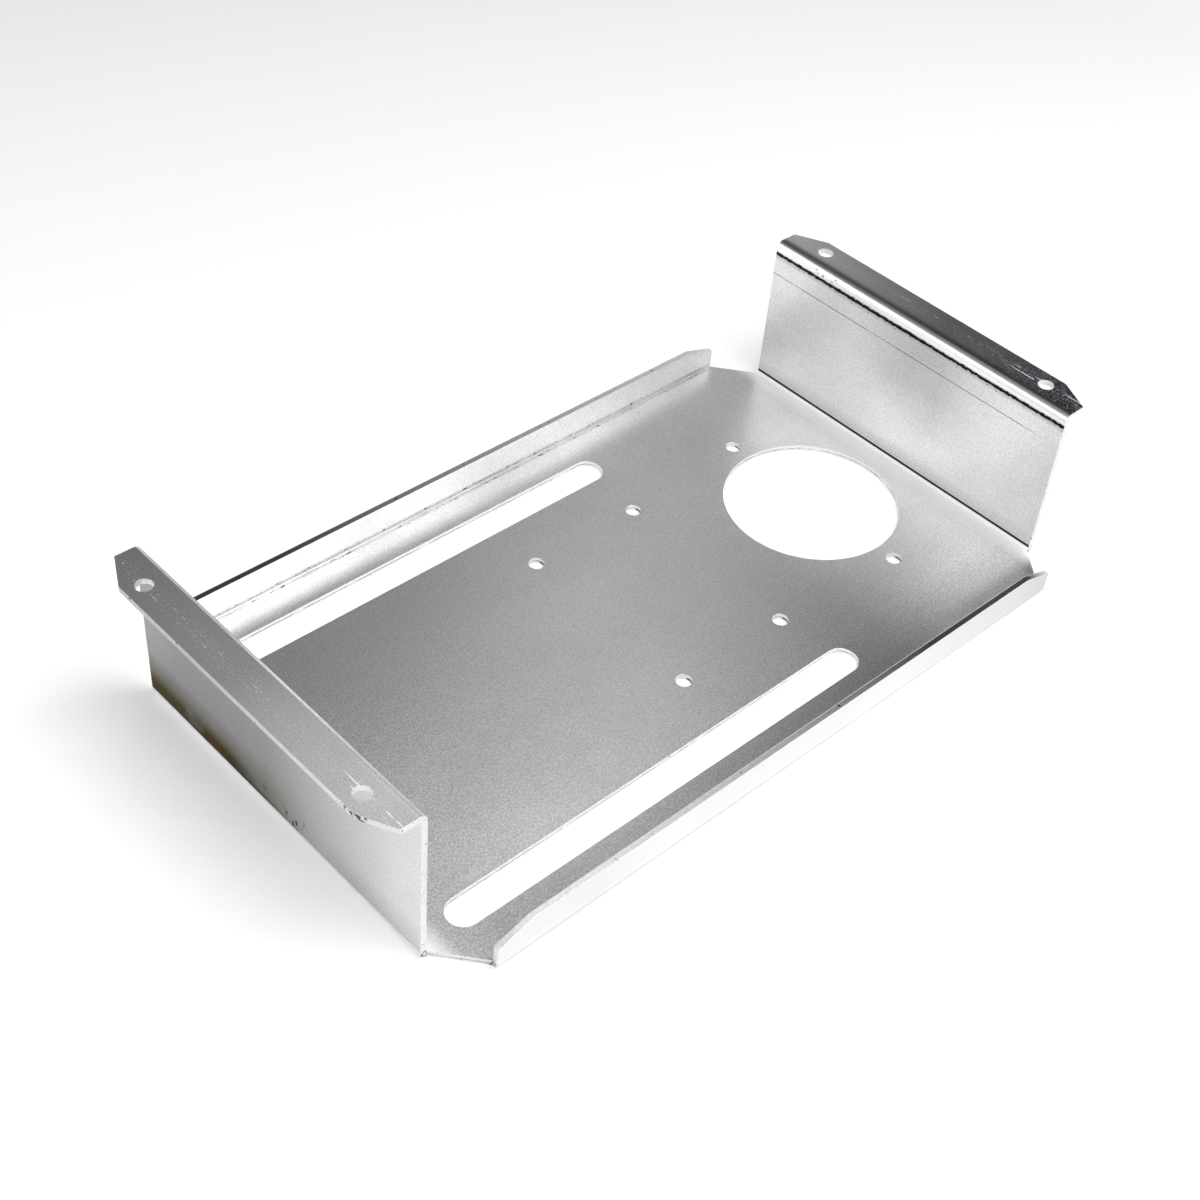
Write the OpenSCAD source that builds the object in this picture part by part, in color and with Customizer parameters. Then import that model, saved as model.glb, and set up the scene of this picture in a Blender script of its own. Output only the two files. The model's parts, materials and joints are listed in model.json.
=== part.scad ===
// Fuse block bracket, punched and folded from one zinc plated steel sheet.
// X runs along the bracket towards the cable hole, Y runs from lip to lip and Z is up.
// The origin is under the middle of the base plate, on the face that it stands on.

/* [Sheet] */
// Thickness of the sheet
sheet_t = 1.9; // [1:0.1:3]
// Radius on the inner side of every fold
bend_r = 0.5; // [0.3:0.1:2]

/* [Base plate] */
// Length over the outer faces of the two end walls
base_len = 254; // [240:1:320]
// Width over the outer faces of the two side lips
base_w = 152; // [140:1:200]

/* [End walls] */
// Width of each end wall and of the flange on top of it
wall_w = 122; // [100:1:130]
// Height from the underside of the base to the top of the flanges
wall_h = 56; // [30:1:90]

/* [Mounting flanges] */
// Reach of a flange past the outer face of its wall
flange_out = 11.8; // [10:0.1:20]
// Length of a flange's corner cut, measured along X
flange_cut_x = 5.5; // [1:0.1:7]
// Length of a flange's corner cut, measured along Y
flange_cut_y = 10.8; // [1:0.1:11.5]
// Diameter of the mounting screw holes
flange_hole_d = 5.1; // [3:0.1:7]
// Distance from a wall's outer face to the centre of its flange's holes
flange_hole_out = 6.35; // [5.5:0.05:7]
// Distance between the two holes of one flange
flange_hole_gap = 93; // [50:0.5:93]

/* [Side lips] */
// Height from the underside of the base to the top of the lips
lip_h = 12.3; // [9:0.1:25]
// Length of each lip, measured along its fold
lip_len = 228; // [180:1:232]
// Length of the slope at each end of a lip
lip_slope_len = 11.8; // [1:0.1:30]
// Drop of the slope at each end of a lip
lip_slope_drop = 3.7; // [0.5:0.1:7]

/* [Slots] */
// Width of each long slot
slot_w = 10.4; // [4:0.1:14]
// Length of each slot over its round ends
slot_len = 158.4; // [40:0.2:180]
// Distance from the near wall's outer face to the start of a slot
slot_from_wall = 12.4; // [8:0.1:40]
// Distance from a lip's outer face to the middle of its slot
slot_from_lip = 19; // [12:0.5:24]

/* [Cable hole] */
// Diameter of the round hole that the cables pass through
cable_d = 58.4; // [20:0.2:66]
// Distance from the far wall's outer face to the middle of the cable hole
cable_from_wall = 40; // [38:0.5:45]
// Distance from the cable hole's rim to the centre of the clamp hole on each side
clamp_from_rim = 7; // [5:0.1:9]
// Diameter of the two clamp screw holes
clamp_hole_d = 5.1; // [3:0.1:6]

/* [Fuse block holes] */
// Distance between the fuse block's screw holes along the bracket
block_gap_x = 41.9; // [20:0.1:80]
// Distance between the fuse block's screw holes across the bracket
block_gap_y = 66; // [30:0.5:80]
// Distance from the far wall's outer face to the nearer pair of these holes
block_from_wall = 90; // [84:0.5:110]
// Diameter of the fuse block's screw holes
block_hole_d = 5.1; // [3:0.1:7]

/* [Hidden] */
$fn = 96;
finish_color = [0.73, 0.74, 0.75];
half_len = base_len / 2;
half_w = base_w / 2;
half_wall = wall_w / 2;
half_lip = lip_len / 2;
// Outer radius of a fold
bend_out = bend_r + sheet_t;
// Where the flat part of the base ends and its folds begin
flat_x = half_len - bend_out;
flat_y = half_w - bend_out;
slot_r = slot_w / 2;
slot_x = -half_len + slot_from_wall + slot_r;
slot_y = half_w - slot_from_lip;
slot_run = slot_len - slot_w;
cable_x = half_len - cable_from_wall;
clamp_y = cable_d / 2 + clamp_from_rim;
block_x = half_len - block_from_wall;
flange_hole_x = half_len + flange_hole_out;
// How far a cutter stands out of the sheet on each side
cut_over = 1;
// How far a folded strip runs back into the flat base, to be one sheet with it
strip_back = 5;

// A round punch through a sheet that lies at height z
module punch(d, x, y, z = 0) {
    translate([x, y, z - cut_over])
        cylinder(d = d, h = sheet_t + 2 * cut_over);
}

// A shear that cuts the corner at the origin, over a length along x and one along y
module corner_shear(along_x, along_y) {
    translate([0, 0, -cut_over])
        linear_extrude(sheet_t + 2 * cut_over)
            polygon([[-2 * along_x, along_y], [along_x, -2 * along_y], [along_x, along_y]]);
}

// A quarter turn of the sheet, seen along the fold, around the origin
module fold_profile() {
    intersection() {
        difference() {
            circle(bend_out);
            circle(bend_r);
        }
        square(2 * bend_out);
    }
}

// The end of the base, its fold and the upright above it, seen along the fold
module upright_profile(flat_end, upright_top) {
    translate([flat_end - strip_back, 0])
        square([strip_back, sheet_t]);
    translate([flat_end, bend_out])
        rotate(-90)
            fold_profile();
    translate([flat_end + bend_r, bend_out])
        square([sheet_t, upright_top - bend_out]);
}

// The flange that is folded outwards on top of an end wall, seen along the fold
module flange_profile() {
    translate([half_len + bend_r, wall_h - bend_out])
        rotate(90)
            fold_profile();
    translate([half_len + bend_r, wall_h - sheet_t])
        square([flange_out - bend_r, sheet_t]);
}

// The flat of the base, with a corner cut from each wall's end to the next lip's end
module base_plate() {
    linear_extrude(sheet_t)
        polygon([
            [flat_x, -half_wall], [flat_x, half_wall],
            [half_lip, flat_y], [-half_lip, flat_y],
            [-flat_x, half_wall], [-flat_x, -half_wall],
            [-half_lip, -flat_y], [half_lip, -flat_y]
        ]);
}

// The end wall on the +X side with its flange, whose two corners are cut
module end_wall() {
    difference() {
        rotate([90, 0, 0])
            linear_extrude(wall_w, center = true) {
                upright_profile(flat_x, wall_h - bend_out);
                flange_profile();
            }
        for (side = [0, 1])
            mirror([0, side, 0])
                translate([half_len + flange_out, half_wall, wall_h - sheet_t])
                    corner_shear(flange_cut_x, flange_cut_y);
    }
}

// The lip on the +Y side, which slopes down at both ends
module side_lip() {
    difference() {
        rotate([90, 0, 90])
            linear_extrude(lip_len, center = true)
                upright_profile(flat_y, lip_h);
        for (end = [0, 1])
            mirror([end, 0, 0])
                translate([half_lip, half_w, lip_h])
                    rotate([90, 0, 0])
                        corner_shear(lip_slope_len, lip_slope_drop);
    }
}

// The long slot on the +Y side of the base
module slot_punch() {
    punch(slot_w, slot_x, slot_y);
    punch(slot_w, slot_x + slot_run, slot_y);
    translate([slot_x, slot_y - slot_r, -cut_over])
        cube([slot_run, slot_w, sheet_t + 2 * cut_over]);
}

module base_punches() {
    punch(cable_d, cable_x, 0);
    for (side = [-1, 1]) {
        punch(clamp_hole_d, cable_x, side * clamp_y);
        for (row = [0, 1])
            punch(block_hole_d, block_x - row * block_gap_x, side * block_gap_y / 2);
    }
    for (side = [0, 1])
        mirror([0, side, 0])
            slot_punch();
}

module flange_punches() {
    for (end = [-1, 1], side = [-1, 1])
        punch(flange_hole_d, end * flange_hole_x, side * flange_hole_gap / 2, wall_h - sheet_t);
}

module bracket() {
    color(finish_color)
        difference() {
            union() {
                base_plate();
                for (end = [0, 1])
                    mirror([end, 0, 0])
                        end_wall();
                for (side = [0, 1])
                    mirror([0, side, 0])
                        side_lip();
            }
            base_punches();
            flange_punches();
        }
}

bracket();
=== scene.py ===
import math
import json
import bpy
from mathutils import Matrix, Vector

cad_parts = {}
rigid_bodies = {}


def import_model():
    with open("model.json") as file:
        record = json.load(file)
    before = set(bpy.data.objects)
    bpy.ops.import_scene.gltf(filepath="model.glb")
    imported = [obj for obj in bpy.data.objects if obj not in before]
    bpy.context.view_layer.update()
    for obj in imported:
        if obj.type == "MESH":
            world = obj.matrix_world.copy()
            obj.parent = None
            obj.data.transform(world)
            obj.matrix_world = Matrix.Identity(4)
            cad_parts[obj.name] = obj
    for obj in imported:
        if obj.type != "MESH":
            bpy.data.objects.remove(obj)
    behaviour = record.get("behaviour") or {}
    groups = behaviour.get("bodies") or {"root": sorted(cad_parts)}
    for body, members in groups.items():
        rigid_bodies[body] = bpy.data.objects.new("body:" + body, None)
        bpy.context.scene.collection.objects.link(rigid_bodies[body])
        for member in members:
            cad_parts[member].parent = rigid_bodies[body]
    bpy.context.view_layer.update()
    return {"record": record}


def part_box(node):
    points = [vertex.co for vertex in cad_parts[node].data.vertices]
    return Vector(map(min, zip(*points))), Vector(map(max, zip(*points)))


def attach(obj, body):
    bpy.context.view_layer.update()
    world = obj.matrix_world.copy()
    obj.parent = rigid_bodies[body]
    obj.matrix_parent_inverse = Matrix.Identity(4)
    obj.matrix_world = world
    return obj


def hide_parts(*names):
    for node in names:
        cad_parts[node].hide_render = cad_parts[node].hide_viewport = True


# the startup cube, lamp and camera go first
bpy.ops.object.select_all(action='SELECT')
bpy.ops.object.delete()

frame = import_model()
bpy.ops.object.select_all(action='DESELECT')
mm = 0.001
lowCorner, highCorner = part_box("bracket")
mounts = {mount["name"]: mount for mount in frame["record"]["mounts"]}
print("frame loaded, bracket box", lowCorner, highCorner)


# camera, set to the photograph's viewing angle
cameraPlace = {
    "location": (-0.31247, -0.28768, 0.39822),
    "turnDegrees": (47.191, -4.043, -42.759),
    "lensMm": 56.951,
    "sensorMm": 36,
    "nearestM": 0.01,
}

def addCamera(place):
    turn = [math.radians(angle) for angle in place["turnDegrees"]]
    bpy.ops.object.camera_add(location=place["location"], rotation=turn)
    camera = bpy.context.object
    camera.name = "photoCamera"
    camera.data.lens = place["lensMm"]
    camera.data.sensor_width = place["sensorMm"]
    camera.data.clip_start = place["nearestM"]
    bpy.context.scene.camera = camera

addCamera(cameraPlace)
print("camera placed")


# the folded sheet, all lengths in millimetres
sheet = {
    "thickness": 1.9,
    "foldRadius": 0.5,      # inner side of every fold
    "foldSteps": 10,
    "wallWidth": 122.0,
    "flangeReach": 11.8,    # past the wall's outer face
    "flangeCut": (5.5, 10.8),
    "lipHeight": 12.3,
    "lipLength": 228.0,
    "lipSlope": (11.8, 3.7),
    "slotWidth": 10.4,
    "slotLength": 158.4,
    "slotFromWall": 12.4,
    "slotFromLip": 19.0,
    "holeSteps": 64,
    "cableHoleSteps": 128,
    "punchOver": 3.0,       # how far a cutter stands out of the sheet
    "edgeWear": 0.22,       # width of the soft edge left by the punch and shear
    "edgeWearSteps": 3,
    "edgeFromDegrees": 35,  # a sharper turn than this is an edge
    "flatShading": 80,      # how much the large flats decide the shading beside them
    "sliver": 0.001,        # shorter edges than this are merged
}
touching = 1e-6             # metres: nearer than this is the same place

def pickEdges(thing, test):
    # selects the edges whose two ends both pass the test, and opens edit mode
    bpy.ops.object.mode_set(mode='OBJECT')
    bpy.context.tool_settings.mesh_select_mode = (False, True, False)
    mesh = thing.data
    chosen = [test(vert.co) for vert in mesh.vertices]
    for face in mesh.polygons:
        face.select = all(chosen[corner] for corner in face.vertices)
    for vert in mesh.vertices:
        vert.select = chosen[vert.index]
    for edge in mesh.edges:
        edge.select = all(chosen[end] for end in edge.vertices)
    bpy.ops.object.mode_set(mode='EDIT')

def pickFaces(thing, test):
    # selects the faces whose middle and normal pass the test, and opens edit mode
    bpy.ops.object.mode_set(mode='OBJECT')
    bpy.context.tool_settings.mesh_select_mode = (False, False, True)
    mesh = thing.data
    corners = set()
    for face in mesh.polygons:
        face.select = test(face.center, face.normal)
        corners.update(face.vertices if face.select else ())
    for vert in mesh.vertices:
        vert.select = vert.index in corners
    for edge in mesh.edges:
        edge.select = all(end in corners for end in edge.vertices)
    bpy.ops.object.mode_set(mode='EDIT')

def shearOff(thing, test, point, outward):
    # cuts away what lies outward of a plane, on the faces that pass the test
    pickFaces(thing, test)
    bpy.ops.mesh.bisect(plane_co=point, plane_no=Vector(outward).normalized(), clear_outer=True,
                        threshold=touching)

def atValue(value, target):
    return abs(value - target) < touching

def applyModifier(thing, kind, **settings):
    bpy.ops.object.select_all(action='DESELECT')
    thing.select_set(True)
    bpy.context.view_layer.objects.active = thing
    modifier = thing.modifiers.new(kind.lower(), kind)
    for name, value in settings.items():
        setattr(modifier, name, value)
    bpy.ops.object.modifier_apply(modifier=modifier.name)

def foldSheet():
    t = sheet["thickness"] * mm
    r = sheet["foldRadius"] * mm
    bendOut = t + r
    quarter = math.pi / 2
    reach = sheet["flangeReach"] * mm
    halfLen, halfWidth, wallHigh = highCorner[0] - reach, highCorner[1], highCorner[2]
    flatX, flatY = halfLen - bendOut, halfWidth - bendOut
    halfWall = sheet["wallWidth"] * mm / 2
    halfLip = sheet["lipLength"] * mm / 2
    lipHigh = sheet["lipHeight"] * mm

    # the flat of the base with its four corners sheared off, modelled as the sheet's upper skin
    bpy.ops.mesh.primitive_plane_add(size=1, location=(0, 0, t))
    blank = bpy.context.object
    blank.name = "bracketSheet"
    blank.data.materials.append(None)       # the plated faces
    blank.data.materials.append(None)       # the sheared and punched edges
    blank.scale = (2 * flatX, 2 * flatY, 1)
    bpy.ops.object.transform_apply(location=True, rotation=True, scale=True)
    for sideX in (-1, 1):
        for sideY in (-1, 1):
            shearOff(blank, lambda c, n: True, (sideX * flatX, sideY * halfWall, t),
                     (sideX * (flatY - halfWall), sideY * (flatX - halfLip), 0))

    # the end walls, each with its flange folded outwards on top
    for side in (-1, 1):
        pickEdges(blank, lambda c: atValue(c.x, side * flatX))
        bpy.ops.mesh.spin(steps=sheet["foldSteps"], angle=side * quarter,
                          center=(side * flatX, 0, bendOut), axis=(0, 1, 0))
        rise = (0, 0, wallHigh - 2 * bendOut)
        bpy.ops.mesh.extrude_region_move(TRANSFORM_OT_translate={"value": rise})
        bpy.ops.mesh.spin(steps=sheet["foldSteps"], angle=side * quarter,
                          center=(side * (halfLen + r), 0, wallHigh - bendOut), axis=(0, -1, 0))
        bpy.ops.mesh.extrude_region_move(TRANSFORM_OT_translate={"value": (side * (reach - r), 0, 0)})
        cutX, cutY = sheet["flangeCut"][0] * mm, sheet["flangeCut"][1] * mm
        for end in (-1, 1):
            shearOff(blank, lambda c, n: c.x * side > halfLen + r,
                     (side * (halfLen + reach), end * (halfWall - cutY), wallHigh),
                     (side * cutY, end * cutX, 0))

    # the side lips, sloping down at their ends
    for side in (-1, 1):
        pickEdges(blank, lambda c: atValue(c.y, side * flatY) and atValue(c.z, t))
        bpy.ops.mesh.spin(steps=sheet["foldSteps"], angle=side * quarter,
                          center=(0, side * flatY, bendOut), axis=(-1, 0, 0))
        bpy.ops.mesh.extrude_region_move(TRANSFORM_OT_translate={"value": (0, 0, lipHigh - bendOut)})
        slopeLen, slopeDrop = sheet["lipSlope"][0] * mm, sheet["lipSlope"][1] * mm
        for end in (-1, 1):
            shearOff(blank, lambda c, n: c.y * side > flatY + r - touching and c.z > bendOut,
                     (end * halfLip, side * halfWidth, lipHigh - slopeDrop),
                     (end * slopeDrop, 0, slopeLen))

    # the sheet's thickness goes below the upper skin
    pickFaces(blank, lambda c, n: True)
    bpy.ops.mesh.remove_doubles(threshold=touching)
    bpy.ops.mesh.normals_make_consistent(inside=False)
    bpy.ops.object.mode_set(mode='OBJECT')
    base = max(blank.data.polygons, key=lambda face: face.area)
    if base.normal.z < 0:
        pickFaces(blank, lambda c, n: True)
        bpy.ops.mesh.flip_normals()
        bpy.ops.object.mode_set(mode='OBJECT')
    applyModifier(blank, 'SOLIDIFY', thickness=t, offset=-1, use_even_offset=True,
                  use_quality_normals=True, material_offset_rim=1)
    return blank

def addPunch(x, y, z, radius, steps):
    deep = (sheet["thickness"] + 2 * sheet["punchOver"]) * mm
    bpy.ops.mesh.primitive_cylinder_add(vertices=steps, radius=radius, depth=deep, location=(x, y, z))
    bpy.ops.object.transform_apply(location=True, rotation=False, scale=False)
    return bpy.context.object

def patternPlaces(mountName):
    # the middle of each hole of a screw pattern in the record, in metres
    mount = mounts[mountName]
    spanX = mount["dims"].get("spacing_x_mm", 0) * mm / 2
    spanY = mount["dims"]["spacing_y_mm"] * mm / 2
    x, y, z = mount["pos_m"]
    sides = (-1, 1) if spanX else (0,)
    return [(x + sideX * spanX, y + sideY * spanY, z) for sideX in sides for sideY in (-1, 1)]

def addPatternPunches(mountName):
    radius = mounts[mountName]["dims"]["hole_r_mm"] * mm
    return [addPunch(*place, radius, sheet["holeSteps"]) for place in patternPlaces(mountName)]

def addSlotPunch(side):
    radius = sheet["slotWidth"] * mm / 2
    wallX = lowCorner[0] + sheet["flangeReach"] * mm
    startX = wallX + sheet["slotFromWall"] * mm + radius
    slotY = side * (highCorner[1] - sheet["slotFromLip"] * mm)
    punch = addPunch(startX, slotY, 0, radius, sheet["holeSteps"])
    run = (sheet["slotLength"] - sheet["slotWidth"]) * mm
    pickEdges(punch, lambda c: c.x > startX - touching)
    bpy.ops.transform.translate(value=(run, 0, 0))
    bpy.ops.object.mode_set(mode='OBJECT')
    return punch

def punchHoles(blank):
    punches = [addSlotPunch(side) for side in (-1, 1)]
    for mountName in ("flange_screw_holes", "fuse_block_holes", "cable_clamp_holes"):
        punches += addPatternPunches(mountName)
    hole = mounts["cable_hole"]
    x, y, z = hole["pos_m"]
    punches.append(addPunch(x, y, z, hole["dims"]["r_mm"] * mm, sheet["cableHoleSteps"]))
    bpy.ops.object.select_all(action='DESELECT')
    for punch in punches:
        punch.select_set(True)
    bpy.context.view_layer.objects.active = punches[0]
    bpy.ops.object.join()
    punchSet = bpy.context.object
    for slot in blank.data.materials:
        punchSet.data.materials.append(slot)
    for face in punchSet.data.polygons:
        face.material_index = 1
    applyModifier(blank, 'BOOLEAN', operation='DIFFERENCE', object=punchSet, solver='EXACT')
    bpy.data.objects.remove(punchSet)

def wearEdges(blank):
    bpy.ops.object.select_all(action='DESELECT')
    blank.select_set(True)
    bpy.context.view_layer.objects.active = blank
    bpy.ops.object.shade_smooth()
    applyModifier(blank, 'BEVEL', width=sheet["edgeWear"] * mm, segments=sheet["edgeWearSteps"],
                  limit_method='ANGLE', angle_limit=math.radians(sheet["edgeFromDegrees"]),
                  harden_normals=True)
    # slivers of no area are left where the worn edges meet at the lips' ends
    pickFaces(blank, lambda c, n: True)
    bpy.ops.mesh.dissolve_degenerate(threshold=sheet["sliver"] * mm)
    bpy.ops.object.mode_set(mode='OBJECT')
    applyModifier(blank, 'WEIGHTED_NORMAL', keep_sharp=True, weight=sheet["flatShading"])

bracketSheet = foldSheet()
print("sheet folded", len(bracketSheet.data.polygons), "faces")
punchHoles(bracketSheet)
print("holes punched", len(bracketSheet.data.polygons), "faces")
wearEdges(bracketSheet)
print("edges worn", len(bracketSheet.data.polygons), "faces")


def linearColor(hexText):
    # sRGB hex to the linear values that Blender's sockets hold
    parts = [int(hexText[i:i + 2], 16) / 255 for i in (1, 3, 5)]
    linear = [p / 12.92 if p <= 0.04045 else ((p + 0.055) / 1.055) ** 2.4 for p in parts]
    return (*linear, 1.0)

def addNode(tree, kind, settings=None, *sources, **namedSources):
    # a new node with its settings, linked by place or by name; a node as a source stands for its first output
    node = tree.nodes.new(kind)
    for name, value in (settings or {}).items():
        if hasattr(node, str(name)):
            setattr(node, name, value)
        else:
            node.inputs[name].default_value = value
    for where, source in [*enumerate(sources), *namedSources.items()]:
        tree.links.new(source.outputs[0] if hasattr(source, "outputs") else source, node.inputs[where])
    return node

def addOverlap(tree, *masks):
    overlap = masks[0]
    for mask in masks[1:]:
        overlap = addNode(tree, "ShaderNodeMath", {"operation": 'MULTIPLY'}, overlap, mask)
    return overlap

def addEither(tree, *masks):
    either = masks[0]
    for mask in masks[1:]:
        either = addNode(tree, "ShaderNodeMath", {"operation": 'MAXIMUM'}, either, mask)
    return either

def addPlaces(tree):
    # Object coordinates in millimetres, whole and by direction, and the distances from the two middle lines
    place = addNode(tree, "ShaderNodeTexCoord")
    inMm = addNode(tree, "ShaderNodeMapping", {"Scale": (1 / mm, 1 / mm, 1 / mm)}, place.outputs["Object"])
    axes = addNode(tree, "ShaderNodeSeparateXYZ", None, inMm)
    places = {"inMm": inMm, "x": axes.outputs["X"], "y": axes.outputs["Y"], "z": axes.outputs["Z"]}
    places["fromMiddle"] = addNode(tree, "ShaderNodeMath", {"operation": 'ABSOLUTE'}, places["x"])
    places["fromCentreLine"] = addNode(tree, "ShaderNodeMath", {"operation": 'ABSOLUTE'}, places["y"])
    return places

def addSpeckle(tree, places, sizeMm, opened, strength=1.0, stretch=(1, 1, 1), detail=2.0, seed=0.0):
    # noise in patches about sizeMm across, longer along a stretched axis, opened up to 0..strength
    patchesPerUnit = 0.5
    scale = [patchesPerUnit / (sizeMm * longer) for longer in stretch]
    shift = (seed, seed, seed)
    spot = addNode(tree, "ShaderNodeMapping", {"Scale": scale, "Location": shift}, places["inMm"])
    noise = addNode(tree, "ShaderNodeTexNoise", {"Scale": 1.0, "Detail": detail, "Roughness": 0.6}, spot)
    spread = {"From Min": opened[0], "From Max": opened[1], "To Max": strength}
    return addNode(tree, "ShaderNodeMapRange", spread, noise)

def around(at, half, soft):
    # a reach that is full within half of a place and gone soft further out
    return (at - half - soft, at - half, at + half, at + half + soft)

def addZone(tree, places, on=(), speckle=None, strength=1.0, **reaches):
    # 1 inside a zone and 0 outside. A reach says where the zone starts and where it is full, and one with
    # four numbers also where it stops being full and where it ends. The zone keeps to the marks it lies on
    masks = [places[name] for name in on]
    for name, (start, full, *farSide) in reaches.items():
        fades = [(start, full)]
        if farSide:
            stillFull, end = farSide
            fades.append((end, stillFull))
        for zero, one in fades:
            fade = {"From Min": zero, "From Max": one}
            masks.append(addNode(tree, "ShaderNodeMapRange", fade, places[name]))
    if speckle:
        masks.append(addSpeckle(tree, places, **speckle))
    zone = addOverlap(tree, *masks)
    if strength == 1.0:
        return zone
    return addNode(tree, "ShaderNodeMath", {"operation": 'MULTIPLY', 1: strength}, zone)

def layMarks(tree, places, marks, look):
    # each mark covers all its zones, and later marks can lie on it; its colour goes over what is below
    color = None
    for name, mark in marks.items():
        places[name] = addEither(tree, *[addZone(tree, places, **zone) for zone in mark["zones"]])
        if "color" in mark:
            settings = {"blend_type": mark.get("blend", 'MIX'), "Color1": linearColor(look["plate"]),
                        "Color2": linearColor(look[mark["color"]])}
            below = {"Color1": color} if color else {}
            color = addNode(tree, "ShaderNodeMixRGB", settings, places[name], **below)
    return color

# where the folded sheet's faces lie, in millimetres
topMm = highCorner[2] / mm
wallOutMm = highCorner[0] / mm - sheet["flangeReach"]
wallInMm = wallOutMm - sheet["thickness"]
lipOutMm = highCorner[1] / mm
lipInMm = lipOutMm - sheet["thickness"]
baseTopMm = sheet["thickness"]
foldOutMm = sheet["thickness"] + sheet["foldRadius"]


# bright zinc plated mild steel: cold rolled sheet, punched, sheared and folded, then plated and
# blue passivated. It gives the eye a satin silver grey with a fine frosted grain and faint clouds,
# painted shade lines beside the folds, and white flecks where the flanges have been rubbed
zinc = {
    "plate": "#f6f6f5",
    "cloud": "#ececec",
    "grain": "#e4e4e4",
    "grainDepthMm": 0.0008,
    "mottle": "#dadadb",
    # the colours from here down to the far flange's end, all but orange's and the tool line's, are painted
    # shade, painted highlight and painted reflection; the olive one is an olive tint darkened as painted
    # shade, and the fold shade colour marks dark specks too
    "greyShade": "#b0b0b0",
    "frontFootShade": "#d6d6d6",
    "oliveShade": "#4c440f",      # an olive tint, darkened as painted shade
    "footShade": "#1a1703",
    "orange": "#583a10",
    "farWallShade": "#d2d2d2",
    "lipOutside": "#dde0de",
    "frontStripShade": "#dadada",
    "paintedHighlight": "#fbfbfb",
    "bendShade": "#7a7a7e",
    "nearBendShade": "#b4b4b6",
    "foldShadeAndSpecks": "#1c1c1f",
    "toolLine": "#505054",
    "farFlangeShade": "#a6a6b0",
    "farFlangeEndShade": "#8c8c9a",
    "rubbed": "#fafafa",
    "rubbedLines": (132.65, 134.35),    # from the middle
    "wobble": {"sizeMm": 4.0, "opened": (0.0, 1.0), "strength": 0.5, "seed": 13.0},
    "ragged": {"sizeMm": 0.5, "opened": (0.2, 0.8), "strength": 0.9, "stretch": (1, 1.6, 1), "detail": 3.0,
               "seed": 23.0},
    "roughness": (0.32, 0.36),          # between the clouds and in them
    "mattRoughness": 0.6,
    "mattMetallic": 0.2,
}
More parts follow.
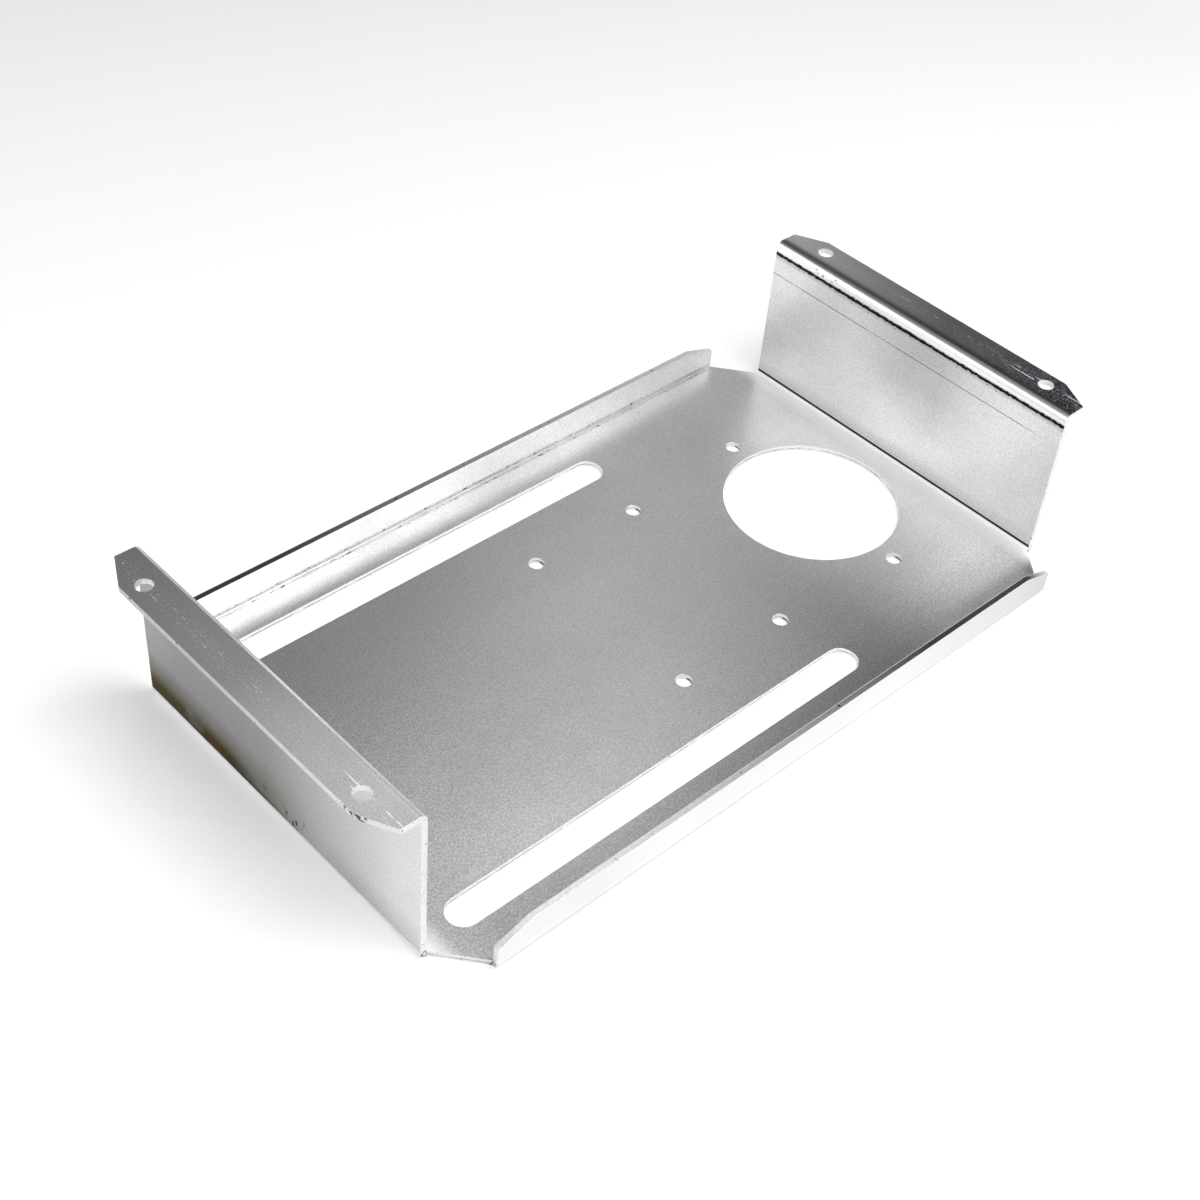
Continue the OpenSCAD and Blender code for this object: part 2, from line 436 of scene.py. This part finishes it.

# every zone's reaches are in millimetres, and the marks are laid in this order. The broad duller, whiter and
# bluer ones are matched to one photograph's tones: they are painted shade, painted highlight and painted
# reflection that the soft boxes miss
zincMarks = {
    # the sheet's faces
    "flangeTop": {"zones": [{"z": (topMm - 0.4, topMm - 0.2)}]},
    "nearTop": {"zones": [{"on": ["flangeTop"], "x": (-wallOutMm - 0.6, -wallOutMm - 1.6)}]},
    "farTop": {"zones": [{"on": ["flangeTop"], "x": (wallOutMm + 0.6, wallOutMm + 1.6)}]},
    "wallInside": {"zones": [
        {"fromMiddle": around(wallInMm, 0.35, 0.1), "z": (foldOutMm + 0.1, foldOutMm + 0.3)},
    ]},
    "nearOutside": {"zones": [
        {"x": (-wallOutMm + 0.4, -wallOutMm + 0.1)},
        {"x": (-wallOutMm + 2.6, -wallOutMm + 2.3), "z": (foldOutMm + 0.1, foldOutMm - 0.1)},
    ]},
    "lipInside": {"zones": [
        {"fromCentreLine": around(lipInMm, 0.3, 0.1), "z": (baseTopMm + 0.1, baseTopMm + 0.3)},
    ]},
    "baseTop": {"zones": [{"z": around(baseTopMm, 0.12, 0.1)}]},

    # faint clouds and frosted grain all over, and a coarser frost toward the base's near end and front
    "clouds": {"color": "cloud", "zones": [
        {"speckle": {"sizeMm": 18.0, "opened": (0.35, 0.65), "detail": 4.0, "seed": 3.0}},
    ]},
    "grain": {"color": "grain", "blend": 'MULTIPLY', "zones": [
        {"speckle": {"sizeMm": 0.25, "opened": (0.35, 0.65), "detail": 1.0}},
    ]},
    "nearOrFront": {"zones": [
        {"x": (10.0, -110.0), "strength": 0.8},
        {"y": (-20.0, -55.0), "strength": 0.6},
    ]},
    "mottle": {"color": "mottle", "blend": 'MULTIPLY', "zones": [
        {"on": ["baseTop", "nearOrFront"], "y": (50.0, 10.0),
         "speckle": {"sizeMm": 0.34, "opened": (0.42, 0.62), "detail": 1.0, "seed": 71.0}},
    ]},

    # painted shade on the near wall's outer face, where it mirrors the floor's shadow: darker toward the back
    # and along its foot, and an olive tint low down that is darkest at the foot
    "greyShade": {"color": "greyShade", "blend": 'MULTIPLY', "zones": [
        {"on": ["nearOutside"], "y": (-50.0, 5.0)},
    ]},
    "frontFootShade": {"color": "frontFootShade", "blend": 'MULTIPLY', "zones": [
        {"on": ["nearOutside"], "z": (14.0, 1.0), "y": (-5.0, -30.0)},
    ]},
    "oliveShadeLow": {"color": "oliveShade", "zones": [
        {"on": ["nearOutside"], "z": (18.0, 6.5), "y": (-14.0, 22.0),
         "speckle": {"sizeMm": 9.0, "opened": (0.0, 0.45), "detail": 3.0, "seed": 7.0}},
    ]},
    "footShadeSpan": {"zones": [{"on": ["nearOutside"], "y": around(25.0, 14.0, 22.0)}]},
    "footShade": {"color": "footShade", "zones": [
        {"on": ["footShadeSpan"], "z": (5.0, 3.4)},
        {"on": ["footShadeSpan"], "z": (8.5, 4.5), "y": around(27.0, 8.0, 12.0), "strength": 0.45},
    ]},
    "orange": {"color": "orange", "zones": [
        {"on": ["nearOutside"], "z": (8.0, 4.0), "y": around(29.0, 2.0, 5.0), "strength": 0.6},
    ]},
    "runs": {"color": "foldShadeAndSpecks", "zones": [
        {"on": ["nearOutside"], "z": (11.0, 6.0), "y": around(-4.0, 8.0, 6.0),
         "speckle": {"sizeMm": 0.9, "opened": (0.60, 0.66), "stretch": (1, 1, 2.2), "seed": 11.0}},
    ]},

    # painted shade on the far wall over its reflection of the cable hole, a painted reflection tone on the
    # front lip's outer face, cooler and darker toward its far end, and painted shade on the base's front
    # strip at both ends
    "farWallShade": {"color": "farWallShade", "blend": 'MULTIPLY', "zones": [
        {"x": (124.0, 125.0), "y": around(-8.0, 6.0, 26.0), "z": (10.0, 34.0, 49.0, 53.0)},
    ]},
    "lipOutside": {"color": "lipOutside", "zones": [{"y": (-75.4, -75.8), "strength": 0.7}]},
    "lipOutsideEnd": {"color": "frontStripShade", "blend": 'MULTIPLY', "zones": [
        {"on": ["lipOutside"], "x": (40.0, 110.0)},
    ]},
    "stripEnd": {"color": "frontStripShade", "blend": 'MULTIPLY', "zones": [
        {"on": ["baseTop"], "y": (-62.0, -66.0), "x": (76.0, 92.0)},
    ]},
    "strip": {"color": "frontStripShade", "blend": 'MULTIPLY', "zones": [
        {"on": ["baseTop"], "y": (-50.0, -66.0), "x": (-124.0, -104.0)},
    ]},

    # a painted highlight, whiter and matt, beside the end walls and over the far flange's bend, and painted
    # shade on both flanges' bends over the lamps' highlights
    "baseBand": {"zones": [{"fromMiddle": (118.0, 123.4), "z": (2.9, 2.6)}]},
    "paintedHighlight": {"color": "paintedHighlight", "zones": [
        {"on": ["baseBand"]},
        {"x": (124.0, 125.0, 125.9, 126.9), "z": (52.6, 53.0)},
    ]},
    "bendShade": {"color": "bendShade", "blend": 'MULTIPLY', "zones": [
        {"x": (125.9, 126.6, 127.6, 129.6), "z": (54.8, 55.2)},
    ]},
    "nearBendShade": {"color": "nearBendShade", "blend": 'MULTIPLY', "zones": [
        {"x": (-126.6, -126.0, -124.0, -120.0), "z": (53.0, 53.6), "y": around(34.0, 20.0, 18.0)},
    ]},

    # painted shade beside the folds: at the walls' foot, under the flanges' bends and along the lips, with
    # dark specks
    "wallMarks": {"color": "foldShadeAndSpecks", "zones": [
        {"on": ["wallInside"], "z": around(3.3, 0.35, 0.25)},
        {"on": ["wallInside"], "z": (9.0, 3.2), "strength": 0.35},
        {"on": ["wallInside"], "raggedUp": around(52.2, 0.5, 0.25)},
        {"on": ["wallInside"], "z": (49.4, 51.6, 52.3, 52.6), "strength": 0.4},
        {"on": ["wallInside"], "z": around(51.0, 0.8, 0.5),
         "speckle": {"sizeMm": 0.3, "opened": (0.66, 0.70), "detail": 1.0, "seed": 29.0}},
    ]},
    "lipSide": {"zones": [{"on": ["lipInside"]}, {"on": ["baseTop"], "fromCentreLine": (71.5, 71.8)}]},
    "lipMarks": {"color": "foldShadeAndSpecks", "zones": [
        {"on": ["lipSide"], "upTheLip": around(0.65, 0.6, 0.5),
         "speckle": {"sizeMm": 6.0, "opened": (0.2, 0.6), "strength": 0.24, "stretch": (2, 1, 1),
                     "detail": 3.0, "seed": 31.0}},
        {"on": ["lipSide"], "upTheLip": around(1.0, 0.3, 0.2),
         "speckle": {"sizeMm": 0.4, "opened": (0.60, 0.66), "stretch": (3, 1, 1), "seed": 43.0}},
    ]},
    "toolLine": {"color": "toolLine", "zones": [    # a thin line, as a back gauge leaves
        {"on": ["wallInside"], "z": around(44.0, 0.08, 0.10), "y": (-56.0, -46.0),
         "speckle": {"sizeMm": 3.0, "opened": (0.2, 0.5), "seed": 5.0}},
    ]},

    # painted shade: the near flange is greyer toward its front end, and the far one bluer and darker there
    "nearFlangeFrontShade": {"color": "greyShade", "blend": 'MULTIPLY', "zones": [
        {"on": ["nearTop"], "y": (-20.0, -60.0), "strength": 0.2},
    ]},
    "farFlangeShade": {"color": "farFlangeShade", "blend": 'MULTIPLY', "zones": [
        {"on": ["farTop"], "y": (70.0, -45.0)},
    ]},
    "farFlangeEndShade": {"color": "farFlangeEndShade", "blend": 'MULTIPLY', "zones": [
        {"on": ["farTop"], "y": (-24.0, -54.0)},
    ]},
    "pits": {"color": "foldShadeAndSpecks", "zones": [
        {"x": around(126.3, 1.2, 0.5), "z": (52.0, 53.5), "y": around(38.0, 5.0, 2.5),
         "speckle": {"sizeMm": 0.35, "opened": (0.67, 0.69), "stretch": (1, 2, 1), "detail": 1.0,
                     "seed": 47.0}},
    ]},

    # rubbed lines and flecks on the flanges
    "rubbedLines": {"zones": [{"wobbling": around(at, 0.05, 0.14)} for at in zinc["rubbedLines"]]},
    "rubbed": {"color": "rubbed", "zones": [
        {"on": ["flangeTop", "rubbedLines"],
         "speckle": {"sizeMm": 0.4, "opened": (0.56, 0.64), "strength": 0.7, "stretch": (1, 4, 1),
                     "detail": 4.0, "seed": 17.0}},
        {"on": ["flangeTop", "rubbedLines"], "y": (-30.0, -36.0),
         "speckle": {"sizeMm": 0.5, "opened": (0.50, 0.54), "stretch": (1, 6, 1), "detail": 1.0,
                     "seed": 53.0}},
        {"on": ["flangeTop"], "fromMiddle": around(133.3, 1.5, 2.0),
         "speckle": {"sizeMm": 0.16, "opened": (0.66, 0.72), "strength": 0.8, "stretch": (1, 2, 1),
                     "detail": 1.0, "seed": 19.0}},
        {"on": ["farTop"], "y": (-10.0, -50.0), "strength": 0.4,
         "speckle": {"sizeMm": 0.22, "opened": (0.54, 0.62), "detail": 1.0, "seed": 61.0}},
    ]},

    # what is matt: the rubbed marks, the handled near flange, the base's far end and its bands of painted
    # highlight
    "matt": {"zones": [
        {"on": ["rubbed"]},
        {"on": ["flangeTop"], "x": (-126.4, -127.0), "y": (-75.0, 5.0, 20.0, 150.0), "strength": 0.5},
        {"on": ["baseTop"], "x": (82.0, 116.0), "y": (90.0, -30.0), "strength": 0.4},
        {"on": ["baseBand"], "z": (0.0, 1.0), "strength": 0.8},
    ]},
    # the olive tint and the painted foot shade are rougher too, but still metal
    "rougher": {"zones": [{"on": ["matt"]}, {"on": ["oliveShadeLow"]}, {"on": ["footShade"]}]},
}

def makeZincPlate():
    material = bpy.data.materials.new("brightZincPlatedSteel")
    material.use_nodes = True
    tree = material.node_tree
    shader = tree.nodes["Principled BSDF"]

    # more places to measure from: a ragged height, the way up a lip from its fold, and a wobbling length
    places = addPlaces(tree)
    ragged = addSpeckle(tree, places, **zinc["ragged"])
    places["raggedUp"] = addNode(tree, "ShaderNodeMath", {"operation": 'ADD'}, places["z"], ragged)
    fromSide = places["fromCentreLine"]
    overLip = addNode(tree, "ShaderNodeMath", {"operation": 'SUBTRACT'}, places["z"], fromSide)
    fromFold = {"operation": 'ADD', 1: lipInMm - baseTopMm}
    places["upTheLip"] = addNode(tree, "ShaderNodeMath", fromFold, overLip)
    wobble = addSpeckle(tree, places, **zinc["wobble"])
    places["wobbling"] = addNode(tree, "ShaderNodeMath", {"operation": 'ADD'}, places["fromMiddle"], wobble)
    color = layMarks(tree, places, zincMarks, zinc)

    smoothest, cloudy = zinc["roughness"]
    satin = addNode(tree, "ShaderNodeMapRange", {"To Min": smoothest, "To Max": cloudy}, places["clouds"])
    mattScale = {"operation": 'MULTIPLY', 1: zinc["mattRoughness"]}
    rough = addEither(tree, satin, addNode(tree, "ShaderNodeMath", mattScale, places["rougher"]))
    metallic = {"To Min": 1.0, "To Max": zinc["mattMetallic"]}
    shine = addNode(tree, "ShaderNodeMapRange", metallic, places["matt"])
    grainDepth = {"Strength": 1.0, "Distance": zinc["grainDepthMm"] * mm}
    bump = addNode(tree, "ShaderNodeBump", grainDepth, Height=places["grain"])
    tree.links.new(color.outputs[0], shader.inputs["Base Color"])
    tree.links.new(rough.outputs[0], shader.inputs["Roughness"])
    tree.links.new(shine.outputs[0], shader.inputs["Metallic"])
    tree.links.new(bump.outputs[0], shader.inputs["Normal"])
    return material


# the same plating over sheared and punched edges: torn steel leaves the plating matt and whiter, with
# a dark line along the base's edges and a few chips
shearedEdge = {
    "plate": "#f6f6f6",
    "torn": "#dededf",
    "tearDepthMm": 0.004,
    "line": "#6a6b70",
    # painted shade on the lips' tops and the near flange's free edge; the slit colour below is a painted
    # shadow
    "lipTopShade": "#434348",
    "freeEdgeShade": "#d8d8dc",
    "chip": "#1c1c1e",
    "holeShadow": "#1c1c1e",
    "roughness": 0.42,
    "metallic": 0.5,
    "holeMetallic": 0.12,       # the screw holes' walls are torn right through, and matt
}
baseHoles = [(x / mm, y / mm) for name in ("fuse_block_holes", "cable_clamp_holes")
             for x, y, z in patternPlaces(name)]

edgeMarks = {
    "tears": {"color": "torn", "zones": [{"speckle": {"sizeMm": 0.4, "opened": (0.3, 0.7), "detail": 3.0}}]},
    "line": {"color": "line", "zones": [
        {"z": around(0.8, 0.08, 0.12), "speckle": {"sizeMm": 2.5, "opened": (0.3, 0.6), "seed": 37.0}},
    ]},

    # painted shade: the front lip's top is darker toward its far end and the back lip's toward its near end,
    # and the near flange's free edge away from its front end
    "lipTops": {"color": "lipTopShade", "blend": 'MULTIPLY', "zones": [
        {"z": (8.8, 12.0), "y": around(-75.2, 0.8, 0.2), "x": (-85.0, 55.0)},
        {"z": (8.8, 12.0), "y": around(75.0, 1.0, 0.2), "x": (150.0, -70.0)},
    ]},
    "freeEdgeShade": {"color": "freeEdgeShade", "blend": 'MULTIPLY', "zones": [
        {"x": (-138.0, -138.4), "y": (-50.0, 10.0)},
    ]},

    # chips here and there, and black spots at the near flange's, near wall's and front lip's corners
    "battered": {"zones": [
        {"x": (-137.0, -137.4), "y": around(-50.0, 3.0, 2.0)},
        {"y": around(-60.8, 0.5, 0.3), "z": (3.6, 2.6)},
        {"y": around(-74.2, 0.9, 0.4), "x": (-113.6, -113.9), "z": (3.6, 2.6)},
    ]},
    "chips": {"color": "chip", "zones": [
        {"speckle": {"sizeMm": 0.5, "opened": (0.72, 0.75), "stretch": (1, 2, 1), "detail": 1.0,
                     "seed": 41.0}},
        {"on": ["battered"], "speckle": {"sizeMm": 0.5, "opened": (0.50, 0.56), "seed": 59.0}},
    ]},

    # a painted shadow along the foot of every screw hole's wall in the base, on the same side of each
    "holeFootShadows": {"color": "holeShadow", "zones": [
        {"x": around(x + 2.0, 0.8, 0.3), "y": around(y - 0.2, 1.0, 0.7), "z": around(0.35, 0.22, 0.12)}
        for x, y in baseHoles
    ]},
    "holes": {"zones": [{"x": around(x, 3.2, 0.4), "y": around(y, 3.2, 0.4)} for x, y in baseHoles]},
}

def makeShearedEdge():
    material = bpy.data.materials.new("zincPlatedShearedEdge")
    material.use_nodes = True
    tree = material.node_tree
    shader = tree.nodes["Principled BSDF"]
    shader.inputs["Roughness"].default_value = shearedEdge["roughness"]
    places = addPlaces(tree)
    color = layMarks(tree, places, edgeMarks, shearedEdge)
    metallic = {"To Min": shearedEdge["metallic"], "To Max": shearedEdge["holeMetallic"]}
    shine = addNode(tree, "ShaderNodeMapRange", metallic, places["holes"])
    tearDepth = {"Strength": 1.0, "Distance": shearedEdge["tearDepthMm"] * mm}
    bump = addNode(tree, "ShaderNodeBump", tearDepth, Height=places["tears"])
    tree.links.new(color.outputs[0], shader.inputs["Base Color"])
    tree.links.new(shine.outputs[0], shader.inputs["Metallic"])
    tree.links.new(bump.outputs[0], shader.inputs["Normal"])
    return material

bracketSheet.data.materials[0] = makeZincPlate()
bracketSheet.data.materials[1] = makeShearedEdge()
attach(bracketSheet, "root")
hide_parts("bracket")
print("zinc plate and sheared edges finished")


# studio: a plain white floor under soft boxes; glow is what a box shows, where 1 is white
floorLook = {
    "color": "#e6e6e6",
    "roughness": 0.9,
    "sizeM": 6,
    "belowM": 0.0001,           # just under the base
    "lift": (0.24, 1.0),        # how much of the background's white it shows by itself, near and far
    "liftFromTo": (0.5, 1.4),   # metres from the middle
}
backdrop = {"glow": 0.03, "band": 1.0, "bandUp": (0.10, 0.32)}     # a white band above the floor's edge
softBoxes = {
    "front": {"turn": 270, "up": 42, "away": 0.90, "size": (0.80, 0.50), "glow": 1.05},
    "lowFront": {"turn": 280, "up": 12, "away": 0.90, "size": (0.90, 0.25), "glow": 0.45},
    "topFront": {"turn": 265, "up": 70, "away": 0.85, "size": (0.60, 0.40), "glow": 5.9},
    "topRight": {"turn": 295, "up": 64, "away": 0.85, "size": (0.50, 0.40), "glow": 1.7},
    "right": {"turn": 327, "up": 45, "away": 0.90, "size": (0.40, 0.40), "glow": 1.8},
    "rightLow": {"turn": 335, "up": 22, "away": 0.85, "size": (0.50, 0.30), "glow": 2.6},
    "left": {"turn": 147, "up": 36, "away": 0.80, "size": (0.90, 0.50), "glow": 1.45},
    "frontLeft": {"turn": 214, "up": 38, "away": 0.90, "size": (0.60, 0.45), "glow": 1.0},
    "back": {"turn": 44, "up": 46, "away": 0.80, "size": (0.20, 0.45), "glow": 0.5},
    "backTop": {"turn": 50, "up": 65, "away": 0.80, "size": (0.45, 0.28), "glow": 0.95},
    "backLow": {"turn": 40, "up": 22, "away": 0.80, "size": (0.30, 0.20), "glow": 0.55},
}

def addSeenDirectly(tree):
    # 1 for what the camera sees, in metal and through openings too, and 0 for the light on the object
    path = addNode(tree, "ShaderNodeLightPath")
    rays = ("Camera", "Glossy", "Transmission")
    return addEither(tree, *[path.outputs["Is " + ray + " Ray"] for ray in rays])

def addFloor():
    bpy.ops.object.select_all(action='DESELECT')
    place = (0, 0, lowCorner[2] - floorLook["belowM"])
    bpy.ops.mesh.primitive_plane_add(size=floorLook["sizeM"], location=place)
    floor = bpy.context.object
    floor.name = "studioFloor"
    material = bpy.data.materials.new("paleFloor")
    material.use_nodes = True
    tree = material.node_tree
    shader = tree.nodes["Principled BSDF"]
    shader.inputs["Base Color"].default_value = linearColor(floorLook["color"])
    shader.inputs["Roughness"].default_value = floorLook["roughness"]
    shader.inputs["Specular IOR Level"].default_value = 0
    shader.inputs["Emission Color"].default_value = (1, 1, 1, 1)
    place = addNode(tree, "ShaderNodeTexCoord")
    away = addNode(tree, "ShaderNodeVectorMath", {"operation": 'LENGTH'}, place.outputs["Object"])
    near, far = floorLook["liftFromTo"]
    liftNear, liftFar = floorLook["lift"]
    spread = {"From Min": near, "From Max": far, "To Min": liftNear, "To Max": liftFar}
    lift = addNode(tree, "ShaderNodeMapRange", spread, away.outputs["Value"])
    shown = addOverlap(tree, lift, addSeenDirectly(tree))
    tree.links.new(shown.outputs[0], shader.inputs["Emission Strength"])
    floor.data.materials.append(material)

def addSoftBox(name, box):
    turn, up = math.radians(box["turn"]), math.radians(box["up"])
    place = Vector((math.cos(turn) * math.cos(up), math.sin(turn) * math.cos(up), math.sin(up))) * box["away"]
    towardBracket = (-place).to_track_quat('-Z', 'Y').to_euler()
    bpy.ops.object.light_add(type='AREA', location=place, rotation=towardBracket)
    lamp = bpy.context.object
    lamp.name = name + "SoftBox"
    lamp.visible_camera = False
    lamp.data.shape = 'RECTANGLE'
    lamp.data.size, lamp.data.size_y = box["size"]
    lamp.data.energy = math.pi * box["size"][0] * box["size"][1] * box["glow"]

def addWorld():
    world = bpy.context.scene.world or bpy.data.worlds.new("studioWorld")
    bpy.context.scene.world = world
    world.use_nodes = True
    tree = world.node_tree
    background = tree.nodes["Background"]
    background.inputs["Color"].default_value = (1, 1, 1, 1)
    place = addNode(tree, "ShaderNodeTexCoord")
    height = addNode(tree, "ShaderNodeSeparateXYZ", None, place.outputs["Generated"])
    whiteUpTo, goneFrom = backdrop["bandUp"]
    fade = {"From Min": goneFrom, "From Max": whiteUpTo, "To Max": backdrop["band"]}
    band = addNode(tree, "ShaderNodeMapRange", fade, height.outputs["Z"])
    shown = addOverlap(tree, band, addSeenDirectly(tree))
    strength = addNode(tree, "ShaderNodeMath", {"operation": 'ADD', 1: backdrop["glow"]}, shown)
    tree.links.new(strength.outputs[0], background.inputs["Strength"])

addFloor()
for name, box in softBoxes.items():
    addSoftBox(name, box)
addWorld()
print("floor, soft boxes and world placed")
bpy.context.scene.view_settings.view_transform = 'Standard'
